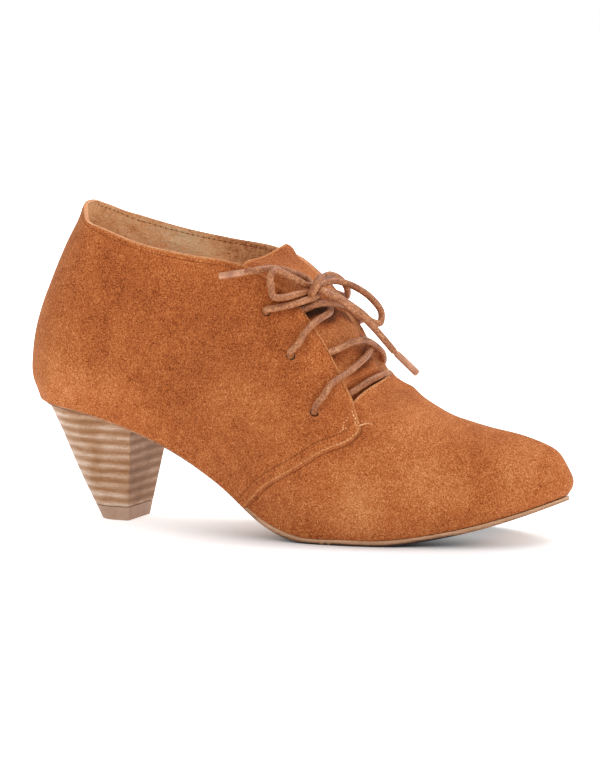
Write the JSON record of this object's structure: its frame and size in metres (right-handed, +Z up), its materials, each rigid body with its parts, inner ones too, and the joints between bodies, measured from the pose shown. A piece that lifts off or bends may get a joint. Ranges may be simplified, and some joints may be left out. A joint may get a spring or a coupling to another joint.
{
  "type": "lace-up derby shoe on a heel",
  "caption": "Right tan suede open-laced shoe with an ankle collar, a cord bow, a thin leather-look sole and a tapered stacked heel.",
  "frame": {"origin": "on the floor under the middle of the shoe's length and width", "axes": "+X towards the toe, +Z up, -Y the outer (lateral) side"},
  "size_m": [0.2444, 0.0804, 0.1376],
  "materials": {
    "suede": "napped suede, matte",
    "lining_leather": "smooth lining leather, satin",
    "sole_leather": "smooth sole leather, satin",
    "stacked_leather": "stacked layers, satin",
    "top_lift": "plain, matte",
    "waxed_lace": "waxed round cord, satin",
    "lace_tip": "bound tip, satin"
  },
  "bodies": {
    "root": {"upper": "suede", "tongue": "suede", "insole": "lining_leather", "outsole": "sole_leather", "heel": "stacked_leather", "heel_top_lift": "top_lift", "lace_crossings": "waxed_lace", "lace_bar": "waxed_lace", "lace_knot": "waxed_lace", "lace_loop_near": "waxed_lace", "lace_loop_far": "waxed_lace", "lace_end_near": "waxed_lace", "lace_end_far": "waxed_lace", "aglet_near": "lace_tip", "aglet_far": "lace_tip"}
  },
  "joints": []
}
